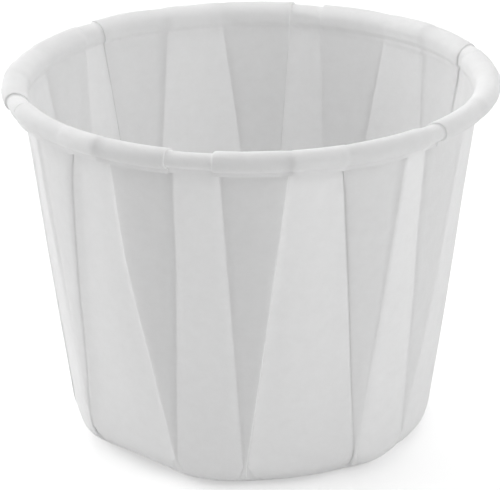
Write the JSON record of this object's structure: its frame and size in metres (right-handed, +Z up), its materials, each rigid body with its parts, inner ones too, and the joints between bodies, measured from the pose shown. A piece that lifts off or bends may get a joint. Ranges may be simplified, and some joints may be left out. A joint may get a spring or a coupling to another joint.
{
  "type": "medicine cup",
  "caption": "Small round folded-paper cup for tablets: flat base, conical wall of box pleats, and a rim rolled outwards.",
  "frame": {"origin": "middle of the flat base, on the table", "axes": "+Z up through the mouth, -Y towards the viewer of the picture, +X to its right"},
  "size_m": [0.04, 0.04, 0.0304],
  "materials": {
    "paper": "matt uncoated"
  },
  "bodies": {
    "root": {"cup": "paper"}
  },
  "joints": []
}
